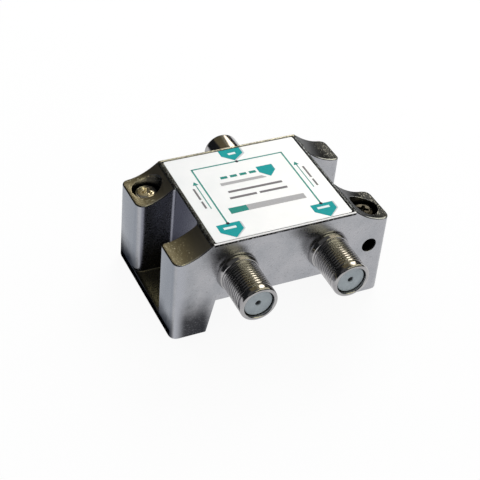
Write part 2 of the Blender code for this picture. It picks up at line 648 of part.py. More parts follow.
def build():
    for obj in list(bpy.data.objects):
        bpy.data.objects.remove(obj)
    zinc = material("nickel_plated_zinc", (0.36, 0.37, 0.38), 1.0, 0.34)
    steel = material("tinned_steel", (0.45, 0.45, 0.44), 1.0, 0.32)
    brass = material("nickel_plated_brass", (0.32, 0.29, 0.22), 1.0, 0.28)
    film = material("white_label_film", (0.9, 0.91, 0.92), 0.0, 0.3)
    plastic = material("grey_white_insulator", (0.42, 0.46, 0.49), 0.0, 0.4)
    bronze = material("phosphor_bronze", (0.42, 0.26, 0.12), 1.0, 0.35)
    screw_steel = material("zinc_plated_screw", (0.5, 0.48, 0.44), 1.0, 0.2)
    laminate = material("board_laminate", (0.42, 0.34, 0.12), 0.0, 0.5)
    ferrite = material("ferrite", (0.03, 0.03, 0.035), 0.0, 0.55)
    copper = material("enamelled_copper", (0.45, 0.12, 0.04), 0.9, 0.3)
    ceramic = material("capacitor_ceramic", (0.55, 0.2, 0.05), 0.0, 0.45)
    lacquer = material("resistor_lacquer", (0.1, 0.28, 0.42), 0.0, 0.4)

    make_housing(zinc)
    make_cover(steel)
    make_label(film)
    ports = (("input", INPUT_X, 1, INPUT_SLEEVE_LENGTH),
             ("output_left", -OUTPUT_X, -1, TIP_RING_LENGTH),
             ("output_right", OUTPUT_X, -1, TIP_RING_LENGTH))
    for name, x, way, ring in ports:
        make_shell("port_shell_" + name, x, way, ring, brass)
        make_insulator("insulator_" + name, x, way, plastic)
        make_contact("contact_" + name, x, way, bronze)
    make_screw("ground_screw_front", 1, screw_steel)
    make_screw("ground_screw_rear", -1, screw_steel)

    make_board(laminate)
    # Places on the board are shares of its half width and half depth
    core, path = make_matching_core(INPUT_X, 0.435 * BOARD_HALF_Y, ferrite)
    tube("matching_winding", path, WIRE_RADIUS, copper)
    core, path = make_ring_core(0, -0.18 * BOARD_HALF_Y, ferrite)
    tube("splitting_winding", path, WIRE_RADIUS, copper)
    for name, side in (("left", -1), ("right", 1)):
        x = side * 0.72 * BOARD_HALF_X
        core, path = make_choke_core("choke_core_" + name, x, 0, ferrite)
        tube("choke_coil_" + name, path, WIRE_RADIUS, copper)
        make_capacitor("output_capacitor_" + name, side * 0.4 * BOARD_HALF_X,
                       -0.615 * BOARD_HALF_Y, 0, ceramic)
    make_capacitor("input_capacitor", INPUT_X - 0.45 * BOARD_HALF_X, 0.58 * BOARD_HALF_Y, 0,
                   ceramic)
    make_resistor(0, -0.8 * BOARD_HALF_Y, lacquer)


build()
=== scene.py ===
"""Two-way rf power splitter for coaxial cable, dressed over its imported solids.

Metres, +Z up: X along the front face with the two outputs, +Y towards the input side. Named
sizes are in millimetres, apart from the studio's. The sections follow the order in which the
splitter is put together.
"""
import math

import bmesh
import bpy
from mathutils import Euler, Matrix, Vector


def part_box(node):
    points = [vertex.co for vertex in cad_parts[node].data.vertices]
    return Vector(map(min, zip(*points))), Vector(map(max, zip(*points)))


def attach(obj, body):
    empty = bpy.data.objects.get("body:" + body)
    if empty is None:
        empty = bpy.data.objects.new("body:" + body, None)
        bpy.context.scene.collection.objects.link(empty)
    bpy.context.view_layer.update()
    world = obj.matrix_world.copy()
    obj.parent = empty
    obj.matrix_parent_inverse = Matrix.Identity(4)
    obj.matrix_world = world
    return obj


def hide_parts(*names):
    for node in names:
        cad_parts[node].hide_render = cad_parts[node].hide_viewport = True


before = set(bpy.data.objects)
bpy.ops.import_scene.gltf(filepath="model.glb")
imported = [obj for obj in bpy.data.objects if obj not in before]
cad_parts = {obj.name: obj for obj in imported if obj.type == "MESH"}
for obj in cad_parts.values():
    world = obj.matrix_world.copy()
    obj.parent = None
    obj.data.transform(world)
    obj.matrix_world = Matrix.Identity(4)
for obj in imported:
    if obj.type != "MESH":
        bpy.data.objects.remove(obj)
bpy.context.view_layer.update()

# Housing
# One zinc die casting, nickel-plated over the as-cast skin: platform, four hollowed ears,
# a pocket on each side and two feet. Its edges are rounded by the die and by tumbling.
MM = 0.001
PLATFORM_TOP = 26.6
PLATFORM_SIDE = 18.6
FACE = 17.0
FOOT_SIDE = 27.6
# Both halves are alike: across is |X|, along runs from the screw's ear to the plain one
SCREW_EAR_END = -5.7
PLAIN_EAR_END = 8.3
SCREW_AXIS = (23.5, -11.8)
SCREW_BORE = 3.7
WIRE_AXIS = (23.5, 15.3)
WIRE_BORE = 2.0
EDGE_ROUNDING = 0.34
INNER_SHARE = 0.25


def srgb(code, alpha=1.0):
    """An sRGB hex value as the linear colour that a socket takes."""
    parts = [int(code[i:i + 2], 16) / 255 for i in (1, 3, 5)]
    linear = [c / 12.92 if c <= 0.04045 else ((c + 0.055) / 1.055) ** 2.4 for c in parts]
    return (*linear, alpha)


def connect(tree, made, links):
    """Link a node's inputs to output sockets, or set them to plain values or sRGB hex codes."""
    for key, source in links.items():
        socket = made.inputs[key]
        if isinstance(source, bpy.types.NodeSocket):
            tree.links.new(source, socket)
        else:
            socket.default_value = srgb(source) if isinstance(source, str) else source


def node(tree, kind, links=None, **settings):
    """Add a node with its settings and its links."""
    made = tree.nodes.new(kind)
    for name, value in settings.items():
        setattr(made, name, value)
    connect(tree, made, links or {})
    return made


def new_material(name, colour, metallic, roughness, **inputs):
    """A node material with its Principled shader, ready for a pattern."""
    made = bpy.data.materials.new(name)
    made.use_nodes = True
    made.diffuse_color = srgb(colour)
    shader = made.node_tree.nodes["Principled BSDF"]
    plain = {"Base Color": colour, "Metallic": metallic, "Roughness": roughness, **inputs}
    connect(made.node_tree, shader, plain)
    return made, made.node_tree, shader


def mottled(tree, place, size, detail, low=0.0, high=1.0):
    """Noise with features of a real size in mm, squeezed to a range."""
    noise = node(tree, "ShaderNodeTexNoise", {"Vector": place, "Scale": 1 / (size * MM),
                                              "Detail": detail, "Roughness": 0.6})
    spread = node(tree, "ShaderNodeMapRange", {"Value": noise.outputs["Fac"], "From Min": 0.3,
                                               "From Max": 0.7, "To Min": low, "To Max": high})
    return spread.outputs["Result"]


def zone(tree, *limits):
    """A mask from 0 to 1, the product of its limits.

    A limit is a value with the places where its smooth step starts and ends, another mask, or
    a plain number.
    """
    mask = None
    for limit in limits:
        if isinstance(limit, tuple):
            value, start, end = limit
            step = node(tree, "ShaderNodeMapRange",
                        {"Value": value, "From Min": start, "From Max": end},
                        interpolation_type="SMOOTHSTEP")
            limit = step.outputs["Result"]
        if mask is None:
            mask = limit
        else:
            mask = node(tree, "ShaderNodeMath", {0: mask, 1: limit},
                        operation="MULTIPLY").outputs[0]
    return mask


def either(tree, *masks):
    """A mask that is as strong as the strongest of several."""
    strongest = masks[0]
    for mask in masks[1:]:
        strongest = node(tree, "ShaderNodeMath", {0: strongest, 1: mask},
                         operation="MAXIMUM").outputs[0]
    return strongest


def layered(tree, under, over, *limits):
    """One colour laid over another inside a zone."""
    mix = node(tree, "ShaderNodeMix", {0: zone(tree, *limits), 6: under, 7: over},
               data_type="RGBA")
    return mix.outputs[2]


def off_axis(tree, first, second, axis):
    """The distance from a drilled hole's axis, in the plane of two coordinates."""
    spot = node(tree, "ShaderNodeCombineXYZ", {"X": first, "Y": second})
    off = node(tree, "ShaderNodeVectorMath", {0: spot.outputs[0], 1: (*axis, 0)},
               operation="DISTANCE")
    return off.outputs["Value"]


def housing_guides(tree):
    """What the housing's finish follows: places in mm, the way a face looks, and mottles."""
    place = node(tree, "ShaderNodeTexCoord").outputs["Object"]
    in_mm = node(tree, "ShaderNodeVectorMath", {0: place, "Scale": 1 / MM}, operation="SCALE")
    where = node(tree, "ShaderNodeSeparateXYZ", {"Vector": in_mm.outputs["Vector"]}).outputs
    normal = node(tree, "ShaderNodeNewGeometry").outputs["Normal"]
    facing = node(tree, "ShaderNodeSeparateXYZ", {"Vector": normal}).outputs
    across = node(tree, "ShaderNodeMath", {0: where["X"]}, operation="ABSOLUTE").outputs[0]
    half = node(tree, "ShaderNodeMath", {0: where["X"]}, operation="SIGN").outputs[0]
    along = node(tree, "ShaderNodeMath", {0: where["Y"], 1: half},
                 operation="MULTIPLY").outputs[0]
    return {"x": where["X"], "y": where["Y"], "z": where["Z"], "across": across, "along": along,
            "facing_x": facing["X"], "facing_y": facing["Y"], "up": facing["Z"],
            # Broad clouds of the plating, the fine cast skin, and rubbed flecks
            "clouds": mottled(tree, place, 5.0, 3.0),
            "grain": mottled(tree, place, 0.55, 4.0),
            "fleck": mottled(tree, place, 0.4, 2.0)}


def plating_and_painted_light(tree, at):
    """Cloudy nickel with dull spots, a painted highlight on the front faces towards the left
    corner, and painted shade that makes the feet's left faces a little darker and bluer.
    """
    base = layered(tree, "#A0A2A7", "#B1B1B5", at["clouds"])
    base = layered(tree, base, "#6E6B66", 0.35, (at["grain"], 0.72, 0.95))
    # Painted highlight: the front faces lighter towards the left corner
    base = layered(tree, base, "#ABADB4", (at["x"], -23.5, -26.5), (at["facing_y"], -0.6, -0.9))
    # Painted shade: the faces that look left a little darker and bluer
    return layered(tree, base, "#898E97", (at["facing_x"], -0.7, -0.99))


def hollows_painted_shade(tree, at, base):
    """The side pockets, screw bores and wire holes, with painted shade in them: darker towards the
    bottom, with painted light on the pockets' low upward floors.
    """
    # Painted shade in the pockets, darker towards the bottom, and painted light on their low upward
    # floors
    hollow_shade = layered(tree, "#46464F", "#82838F", (at["z"], 5.0, 15.0))
    hollow_shade = layered(tree, hollow_shade, "#B5AE8A", (at["up"], 0.6, 0.8), (at["z"], 7.0, 6.0))
    base = layered(tree, base, hollow_shade, 0.88,
                   (at["across"], FOOT_SIDE + 0.45, FOOT_SIDE),
                   (at["across"], PLATFORM_SIDE - 0.2, PLATFORM_SIDE),
                   (at["along"], SCREW_EAR_END - 0.4, SCREW_EAR_END - 0.1),
                   (at["along"], PLAIN_EAR_END - 0.4, PLAIN_EAR_END - 0.8),
                   (at["z"], PLATFORM_TOP - 0.3, PLATFORM_TOP - 1.0))
    # Painted shade inside the screw bores and the wire holes
    bored = zone(tree, (off_axis(tree, at["across"], at["along"], SCREW_AXIS),
                        SCREW_BORE + 0.2, SCREW_BORE), (at["z"], 22.9, 21.5))
    holed = zone(tree, (off_axis(tree, at["across"], at["z"], WIRE_AXIS),
                        WIRE_BORE + 0.1, WIRE_BORE - 0.03),
                 (at["along"], 0.3 - FACE, 0.7 - FACE), (at["along"], -9.0, -10.0))
    return layered(tree, base, "#3A3A3D", either(tree, bored, holed))


def ears_wear_and_painted_light(tree, at, base):
    """The ears' tops with painted reflections: dull olive on the left and near-black slate on the
    right.

    Bare flecks lie towards their outer corners, a painted highlight along their front edges, and a
    painted dark line below the lips. The colour comes back with the masks of tops, of the flecks
    with the painted highlight, and of the lines.
    """
    tilted = node(tree, "ShaderNodeMath", {0: at["facing_y"]}, operation="ABSOLUTE").outputs[0]
    top = zone(tree, (tilted, 0.5, 0.25), (at["up"], 0.3, 0.5), (at["z"], 20.0, 22.0))
    right = zone(tree, (at["x"], -5.0, 5.0))
    outward = zone(tree, (at["across"], 19.5, 26.5))
    # Painted reflections on the ears' tops, olive on the left and slate on the right
    olive = layered(tree, "#9E988A", "#B4AE9A", outward)
    slate = layered(tree, "#181B20", "#24282D", outward)
    base = layered(tree, base, layered(tree, olive, slate, right), 0.98, top)
    fainter = node(tree, "ShaderNodeMapRange", {"Value": right, "To Min": 1.0, "To Max": 0.5})
    flecks = zone(tree, top, (at["fleck"], 0.72, 0.94), (at["across"], 21.0, 25.0),
                  fainter.outputs["Result"])
    # Painted highlight along the front lips of the ears
    clearer = node(tree, "ShaderNodeMapRange", {"Value": right, "To Min": 0.45, "To Max": 1.0})
    lip = zone(tree, (at["facing_y"], -0.15, -0.3), (at["up"], 0.52, 0.62),
               (at["z"], 20.0, 21.0), (at["across"], 20.5, 22.0), clearer.outputs["Result"])
    # The worn flecks and the painted lip highlight share one pale colour
    flecks_and_lip_highlight = either(tree, flecks, lip)
    base = layered(tree, base, layered(tree, "#D9D2B6", "#E6E8E6", right), flecks_and_lip_highlight)
    # Painted shade: a dark line along the ears' steep and outer edges just below the tops
    steep = zone(tree, (at["up"], 0.6, 0.5))
    outer = zone(tree, (at["across"], 26.9, 27.1), (at["up"], 0.97, 0.9))
    lines = zone(tree, (at["up"], 0.12, 0.25), (at["z"], 19.5, 20.5), either(tree, steep, outer))
    return layered(tree, base, "#17171A", 0.9, lines), top, flecks_and_lip_highlight, lines


def rim_painted_shade_and_light(tree, at, base):
    """The rim round the film, rough from the die and mottled, with painted shade at the sides and
    painted light at the rear.
    """
    sides = layered(tree, "#26282C", "#757C88", (at["fleck"], 0.35, 0.75))
    rear = layered(tree, "#6A6A5E", "#DCDCD2", (at["fleck"], 0.2, 0.6))
    # Painted shade on the rim's sides and painted light at its rear
    edge = layered(tree, sides, rear, (at["y"], FACE - 0.8, FACE - 0.6))
    return layered(tree, base, edge, 0.95, (at["z"], PLATFORM_TOP - 0.4, PLATFORM_TOP - 0.2),
                   (at["up"], 0.3, 0.5))


def painted_foot_shade(tree, at, base):
    """Painted shade on the left feet, darker towards the bottom: up the outer faces, along the sole
    and on the front toe.

    The colour comes back with the shade's mask.
    """
    # Painted shade of the floor's shadow by the feet, darkest near the floor
    height = node(tree, "ShaderNodeMath", {0: at["clouds"], 1: 2.0, 2: at["z"]},
                  operation="MULTIPLY_ADD").outputs[0]
    risen = node(tree, "ShaderNodeMath", {0: zone(tree, (at["y"], 5.0, -10.0)), 1: 1.2,
                                          2: height}, operation="MULTIPLY_ADD").outputs[0]
    outside = zone(tree, 0.76, (risen, 11.0, 3.5), (at["x"], 0.6 - FOOT_SIDE, -FOOT_SIDE))
    sole = zone(tree, (at["z"], 2.6, 2.2), (at["x"], 0.2 - FOOT_SIDE, -0.3 - FOOT_SIDE))
    toe = zone(tree, 0.92, (at["x"], -27.2, -24.2), (at["x"], -16.5, -20.0),
               (height, 14.5, 5.0), (at["y"], 0.5 - FACE, -FACE))
    foot_shade = either(tree, toe, outside, sole)
    # Flecks break up the painted shade
    flecked_gaps = node(tree, "ShaderNodeMapRange",
                      {"Value": at["fleck"], "From Min": 0.65, "From Max": 0.9, "To Min": 1.0,
                       "To Max": 0.8}, interpolation_type="SMOOTHSTEP")
    return layered(tree, base, "#202024", 0.96, foot_shade, flecked_gaps.outputs["Result"]), foot_shade


def front_rim_painted_light(tree, at, base):
    """A painted white highlight along the rounded top of the front rim, with a painted dark line of
    shade below it.

    The colour comes back with the highlight's mask.
    """
    front = zone(tree, (at["y"], 0.55 - FACE, 0.45 - FACE),
                 (at["across"], PLATFORM_SIDE - 0.2, PLATFORM_SIDE - 0.4))
    patchy = node(tree, "ShaderNodeMapRange",
                  {"Value": at["grain"], "From Min": 0.15, "From Max": 0.5, "To Min": 0.3,
                   "To Max": 1.0}, interpolation_type="SMOOTHSTEP")
    # Painted shade: a dark line along the front rim below its highlight
    base = layered(tree, base, "#1C1A1A", front, (at["z"], 25.9, 26.05),
                   patchy.outputs["Result"])
    # Painted highlight: a white line along the rounded top of the front rim
    rim_highlight = zone(tree, front, (at["z"], 26.22, 26.3), (at["up"], 0.25, 0.4))
    return layered(tree, base, "#F2F2F2", rim_highlight), rim_highlight


def cast_nickel():
    """Nickel over as-cast zinc: satin and mottled, with worn flecks and with painted shade,
    highlights and reflections.
    """
    made, tree, shader = new_material("nickel_plated_die_cast_zinc", "#A4A6AA", 1.0, 0.22)
    at = housing_guides(tree)
    base = hollows_painted_shade(tree, at, plating_and_painted_light(tree, at))
    base, top, flecks_and_lip_highlight, lines = ears_wear_and_painted_light(tree, at, base)
    base, foot_shade = painted_foot_shade(tree, at, rim_painted_shade_and_light(tree, at, base))
    base, rim_highlight = front_rim_painted_light(tree, at, base)
    # The painted highlight on the front rim is no metal, and the worn flecks and the ears' painted
    # lip highlight are half lacquer
    painted = either(tree, rim_highlight, zone(tree, 0.55, flecks_and_lip_highlight))
    metal = node(tree, "ShaderNodeMapRange", {"Value": painted, "To Min": 1.0, "To Max": 0.0},
                 interpolation_type="SMOOTHSTEP")
    satin = node(tree, "ShaderNodeMapRange", {"Value": at["grain"], "To Min": 0.26,
                                              "To Max": 0.32}, interpolation_type="SMOOTHSTEP")
    rough = node(tree, "ShaderNodeMath", {0: top, 1: 0.1, 2: satin.outputs["Result"]},
                 operation="MULTIPLY_ADD")
    # Bump of the cast skin, a few hundredths of a millimetre
    bump = node(tree, "ShaderNodeBump", {"Height": at["grain"], "Strength": 0.1,
                                         "Distance": 0.03 * MM})
    # The painted shade on the feet and the painted dark lines also darken the gloss
    tint = layered(tree, "#FFFFFF", "#202020", either(tree, foot_shade, lines))
    connect(tree, shader, {"Base Color": base, "Metallic": metal.outputs["Result"],
                           "Roughness": rough.outputs[0], "Specular Tint": tint,
                           "Normal": bump.outputs["Normal"]})
    return made


def shade(mesh, angle):
    """Shade a mesh smooth up to an angle in degrees."""
    mesh.shade_smooth()
    mesh.set_sharp_from_angle(angle=math.radians(angle))


def finish_piece(name, bm, made, angle=32):
    """Turn a bmesh into a piece at the origin."""
    mesh = bpy.data.meshes.new(name)
    bm.to_mesh(mesh)
    bm.free()
    mesh.materials.append(made)
    shade(mesh, angle)
    piece = bpy.data.objects.new(name, mesh)
    bpy.context.scene.collection.objects.link(piece)
    return piece


def baked(piece):
    """Replace a piece's mesh by its evaluated one and take its modifiers off."""
    bpy.context.view_layer.update()
    graph = bpy.context.evaluated_depsgraph_get()
    mesh = bpy.data.meshes.new_from_object(piece.evaluated_get(graph))
    mesh.name = piece.name
    piece.modifiers.clear()
    piece.data = mesh


bm = bmesh.new()
bm.from_mesh(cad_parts["housing"].data)
bmesh.ops.remove_doubles(bm, verts=bm.verts, dist=0.002 * MM)
# The swoops of the ears meet the bores in slivers, which are welded away before the rounding
ears = [v for v in bm.verts if abs(v.co.x) > 20.0 * MM and v.co.z > 20.5 * MM]
bmesh.ops.remove_doubles(bm, verts=ears, dist=0.04 * MM)
bmesh.ops.dissolve_limit(bm, angle_limit=math.radians(1.0), verts=bm.verts, edges=bm.edges)
weights = bm.edges.layers.float.new("bevel_weight_edge")
for edge in bm.edges:
    if len(edge.link_faces) == 2 and edge.calc_face_angle(0) > math.radians(38):
        middle = (edge.verts[0].co + edge.verts[1].co) / 2 / MM
        across, along = abs(middle.x), math.copysign(middle.y, middle.x * middle.y)
        drilled = (math.dist((across, along), SCREW_AXIS) < SCREW_BORE + 0.6
                   or math.dist((across, middle.z), WIRE_AXIS) < WIRE_BORE + 0.6)
        outline = across > PLATFORM_SIDE and not drilled
        edge[weights] = 1.0 if outline else INNER_SHARE
housing = finish_piece("die_cast_housing", bm, cast_nickel())
rounding = housing.modifiers.new("Rounding", "BEVEL")
rounding.width = EDGE_ROUNDING * MM
rounding.segments = 4
rounding.limit_method = "WEIGHT"
rounding.use_clamp_overlap = False
baked(housing)
for vert in housing.data.vertices:
    vert.co.z = min(vert.co.z, PLATFORM_TOP * MM)
shade(housing.data, 40)
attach(housing, "root")
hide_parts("housing")

# Ports
# Three F connector bodies, turned from brass and nickel-plated, pressed into the wall up to a
# collar. A rolled thread of 32 turns to the inch runs between the collar and the tip ring.
THREAD_RADIUS = 4.7
THREAD_PITCH = 25.4 / 32
THREAD_DEPTH = 0.24
THREAD_ROOT = THREAD_RADIUS - THREAD_DEPTH
# Shares of the pitch: half of a ridge at its foot, half of its flat crest, and the rounding
RIDGE_SHARES = (0.49, 0.34, 0.07)
PORT_BORE = 3.75
PORT_LENGTH = 12.0
PORT_SEAT = 4.2
COLLAR_RADIUS = 5.2
# The thread starts this far behind the tip's sleeve, and stops this far before the wall
THREAD_START = 0.15
THREAD_STOP = 2.2
TIP_SLEEVES = {"input": 6.8, "output_left": 1.7, "output_right": 1.7}
TURNED_ROUNDING = 0.09


def turned_nickel():
    """Nickel on turned brass: glossier and a little warmer than the casting."""
    made, tree, shader = new_material("nickel_plated_turned_brass", "#A5A4A5", 1.0, 0.18)
    place = node(tree, "ShaderNodeTexCoord").outputs["Object"]
    clouds = mottled(tree, place, 2.5, 3.0)
    bump = node(tree, "ShaderNodeBump", {"Height": mottled(tree, place, 0.35, 3.0),
                                         "Strength": 0.1, "Distance": 0.01 * MM})
    connect(tree, shader, {"Base Color": layered(tree, "#9B999B", "#AFAEAE", clouds),
                           "Roughness": mottled(tree, place, 0.35, 3.0, 0.12, 0.2),
                           "Normal": bump.outputs["Normal"]})
    return made


def turned(profile, segments, closed):
    """Spin (radius, distance from the tip) pairs in mm about Z into a bmesh."""
    bm = bmesh.new()
    verts = [bm.verts.new((r * MM, 0, z * MM)) for r, z in profile]
    pairs = list(zip(verts, verts[1:]))
    if closed:
        pairs.append((verts[-1], verts[0]))
    edges = [bm.edges.new(pair) for pair in pairs]
    bmesh.ops.spin(bm, geom=verts + edges, cent=(0, 0, 0), axis=(0, 0, 1), dvec=(0, 0, 0),
                   angle=2 * math.pi, steps=segments, use_merge=True)
    bmesh.ops.remove_doubles(bm, verts=bm.verts, dist=0.001 * MM)
    bmesh.ops.recalc_face_normals(bm, faces=bm.faces)
    return bm


def softened(profile, cut, rounds=3):
    """Round the corners of a profile that ends where it starts, and leave its last point out."""
    out = [profile[0]]
    for before, here, after in zip(profile, profile[1:], profile[2:]):
        a, b, c = Vector(before), Vector(here), Vector(after)
        reach = min(cut, (a - b).length * 0.4, (c - b).length * 0.4)
        start = b + (a - b).normalized() * reach
        end = b + (c - b).normalized() * reach
        for i in range(rounds + 1):
            t = i / rounds
            out.append(tuple((1 - t) ** 2 * start + 2 * t * (1 - t) * b + t ** 2 * end))
    return out


def thread_tree(finish):
    """Geometry Nodes: a thread's ridge swept along a spiral, by radius, pitch and length."""
    tree = bpy.data.node_groups.new("rolled_thread", "GeometryNodeTree")
    face = tree.interface
    face.new_socket("Body", in_out="INPUT", socket_type="NodeSocketGeometry")
    for label, value in (("Root radius", THREAD_ROOT * MM), ("Crest height", THREAD_DEPTH * MM),
                         ("Pitch", THREAD_PITCH * MM), ("Start", 2.3 * MM), ("Turns", 9.0)):
        socket = face.new_socket(label, in_out="INPUT", socket_type="NodeSocketFloat")
        socket.default_value = value
    face.new_socket("Threaded", in_out="OUTPUT", socket_type="NodeSocketGeometry")
    given = node(tree, "NodeGroupInput").outputs
    crest = given["Crest height"]
    length = node(tree, "ShaderNodeMath", {0: given["Pitch"], 1: given["Turns"]},
                  operation="MULTIPLY").outputs[0]
    spiral = node(tree, "GeometryNodeCurveSpiral",
                  {"Resolution": 48, "Rotations": given["Turns"],
                   "Start Radius": given["Root radius"], "End Radius": given["Root radius"],
                   "Height": length, "Reverse": True})
    upright = node(tree, "GeometryNodeSetCurveNormal", {"Curve": spiral.outputs["Curve"]},
                   mode="Z_UP")
    # The ridge's section: foot, flat and rounding by their shares of the pitch
    foot, flat, rounding = (node(tree, "ShaderNodeMath", {0: given["Pitch"], 1: share},
                                 operation="MULTIPLY").outputs[0] for share in RIDGE_SHARES)
    foot_back, flat_back = (node(tree, "ShaderNodeMath", {0: reach, 1: -1.0},
                                 operation="MULTIPLY").outputs[0] for reach in (foot, flat))
    sunk = node(tree, "ShaderNodeMath", {0: crest, 1: -0.3}, operation="MULTIPLY").outputs[0]
    sharp = node(tree, "GeometryNodeCurvePrimitiveQuadrilateral", mode="POINTS")
    corners = ((crest, flat), (sunk, foot), (sunk, foot_back), (crest, flat_back))
    for i, (out, along) in enumerate(corners):
        corner = node(tree, "ShaderNodeCombineXYZ", {"X": out, "Y": along})
        connect(tree, sharp, {f"Point {i + 1}": corner.outputs["Vector"]})
    ridge = node(tree, "GeometryNodeFilletCurve", {"Curve": sharp.outputs["Curve"], "Count": 2,
                                                   "Radius": rounding}, mode="POLY")
    sweep = node(tree, "GeometryNodeCurveToMesh",
                 {"Curve": upright.outputs["Curve"], "Profile Curve": ridge.outputs["Curve"],
                  "Fill Caps": True})
    shift = node(tree, "ShaderNodeCombineXYZ", {"Z": given["Start"]})
    placed = node(tree, "GeometryNodeTransform",
                  {"Geometry": sweep.outputs["Mesh"], "Translation": shift.outputs["Vector"]})
    joined = node(tree, "GeometryNodeJoinGeometry", {"Geometry": placed.outputs["Geometry"]})
    connect(tree, joined, {"Geometry": given["Body"]})
    real = node(tree, "GeometryNodeRealizeInstances", {"Geometry": joined.outputs["Geometry"]})
    dressed = node(tree, "GeometryNodeSetMaterial", {"Geometry": real.outputs["Geometry"],
                                                     "Material": finish})
    node(tree, "NodeGroupOutput", {"Threaded": dressed.outputs["Geometry"]})
    return tree


def cut_thread(piece, tree, sizes):
    """Sweep a thread round a piece: its inputs are set by their sockets' identifiers."""
    thread = piece.modifiers.new("Thread", "NODES")
    thread.node_group = tree
    for item in tree.interface.items_tree:
        if item.name in sizes:
            thread[item.identifier] = sizes[item.name]
    baked(piece)


def port_profile(sleeve, neck):
    """The section of a port's wall, from the bore round the tip to the collar and the seat."""
    collar = PORT_LENGTH - 0.02
    tip = [(PORT_BORE, 6.0), (PORT_BORE, 0.15), (PORT_BORE + 0.15, 0), (THREAD_RADIUS - 0.45, 0),
           (THREAD_RADIUS - 0.12, 0.16), (THREAD_RADIUS, 0.5), (THREAD_RADIUS, sleeve - 0.05),
           (THREAD_RADIUS - 0.1, sleeve)]
    root = [(THREAD_ROOT, sleeve + 0.2), (THREAD_ROOT, PORT_LENGTH - 2.15)]
    washer = [(THREAD_RADIUS - 0.05, PORT_LENGTH - 1.95), (THREAD_RADIUS - 0.05, PORT_LENGTH - 1.7),
              (THREAD_ROOT + 0.2, PORT_LENGTH - 1.6), (THREAD_ROOT + 0.2, PORT_LENGTH - 1.5),
              (COLLAR_RADIUS - 0.3, PORT_LENGTH - 1.42), (COLLAR_RADIUS, PORT_LENGTH - 0.6),
              (COLLAR_RADIUS, collar)]
    seat = [(PORT_SEAT, collar), (PORT_SEAT, neck), (PORT_BORE, neck), (PORT_BORE, 6.0)]
    return softened(tip + root + washer + seat, TURNED_ROUNDING)


port_metal = turned_nickel()
port_thread = thread_tree(port_metal)
PORTS = {}
for port, sleeve in TIP_SLEEVES.items():
    low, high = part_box("port_shell_" + port)
    way = 1 if port == "input" else -1
    tip = Vector(((low.x + high.x) / 2, high.y if way > 0 else low.y, (low.z + high.z) / 2))
    PORTS[port] = Matrix.Translation(tip) @ Matrix.Rotation(way * math.pi / 2, 4, "X")
    bm = turned(port_profile(sleeve, (high.y - low.y) / MM), 72, closed=True)
    shell = finish_piece("port_" + port, bm, port_metal, angle=30)
    start = sleeve + THREAD_START
    cut_thread(shell, port_thread,
               {"Root radius": THREAD_ROOT * MM, "Crest height": THREAD_DEPTH * MM,
                "Pitch": THREAD_PITCH * MM, "Start": start * MM,
                "Turns": (PORT_LENGTH - THREAD_STOP - start) / THREAD_PITCH})
    shell.data.transform(PORTS[port])
    shade(shell.data, 42)
    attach(shell, "root")
    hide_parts("port_shell_" + port)

# Insulators
# A moulded bush in each port, grey-white polypropylene, pressed in from behind. A small
# entry hole leads the cable's wire into the contact.
BUSH_INSET = 0.68
BUSH_RADIUS = 3.52
BUSH_BACK = 0.6
ENTRY_RADIUS = 0.7
CONTACT_BORE = 1.3


def moulded_bush():
    """Moulded polypropylene: pale, even and a little glossy, with a fine sunken skin."""
    made, tree, shader = new_material("moulded_polypropylene", "#98A1A7", 0.0, 0.42, IOR=1.49)
    place = node(tree, "ShaderNodeTexCoord").outputs["Object"]
    clouds = mottled(tree, place, 1.6, 2.0)
    bump = node(tree, "ShaderNodeBump", {"Height": mottled(tree, place, 0.25, 2.0),
                                         "Strength": 0.15, "Distance": 0.01 * MM})
    connect(tree, shader, {"Base Color": layered(tree, "#939DA3", "#A0A9AE", clouds),
                           "Normal": bump.outputs["Normal"]})
    return made


bush_plastic = moulded_bush()
for port, matrix in PORTS.items():
    low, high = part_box("insulator_" + port)
    back = BUSH_BACK + (high.y - low.y) / MM
    profile = [(CONTACT_BORE, 4.0), (CONTACT_BORE, BUSH_INSET + 0.45),
               (ENTRY_RADIUS, BUSH_INSET + 0.4), (ENTRY_RADIUS, BUSH_INSET + 0.12),
               (ENTRY_RADIUS + 0.15, BUSH_INSET), (BUSH_RADIUS - 0.12, BUSH_INSET),
               (BUSH_RADIUS, BUSH_INSET + 0.12), (BUSH_RADIUS, 6.0), (BUSH_RADIUS - 0.17, 6.1),
               (BUSH_RADIUS - 0.17, back), (CONTACT_BORE, back), (CONTACT_BORE, 4.0)]
    bush = finish_piece("bush_" + port, turned(softened(profile, 0.05), 56, closed=True),
                        bush_plastic)
    bush.data.transform(matrix)
    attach(bush, "root")
    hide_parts("insulator_" + port)

# Contacts
# Rolled phosphor bronze tubes, one behind each entry hole, where it grips the cable's wire.
# The solids already have their form and only take the finish.


def rolled_bronze():
    """Rolled phosphor bronze: brown-gold and satin from the rolls, with faint stains."""
    made, tree, shader = new_material("rolled_phosphor_bronze", "#B5895A", 1.0, 0.32)
    place = node(tree, "ShaderNodeTexCoord").outputs["Object"]
    stains = mottled(tree, place, 1.2, 3.0)
    bump = node(tree, "ShaderNodeBump", {"Height": stains, "Strength": 0.1,
                                         "Distance": 0.01 * MM})
    connect(tree, shader, {"Base Color": layered(tree, "#A87C4E", "#C49A6B", stains),
                           "Normal": bump.outputs["Normal"]})
    return made


def dress(made, *names):
    """Give CAD nodes that keep their solids a material."""
    for name in names:
        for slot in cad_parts[name].material_slots:
            slot.material = made


dress(rolled_bronze(), *("contact_" + port for port in PORTS))

# Circuit
# Laminate board with ferrite cores, enamelled wire, ceramic discs and a film resistor, all
# hidden by the cover. The solids stay and take the finish of the real parts.


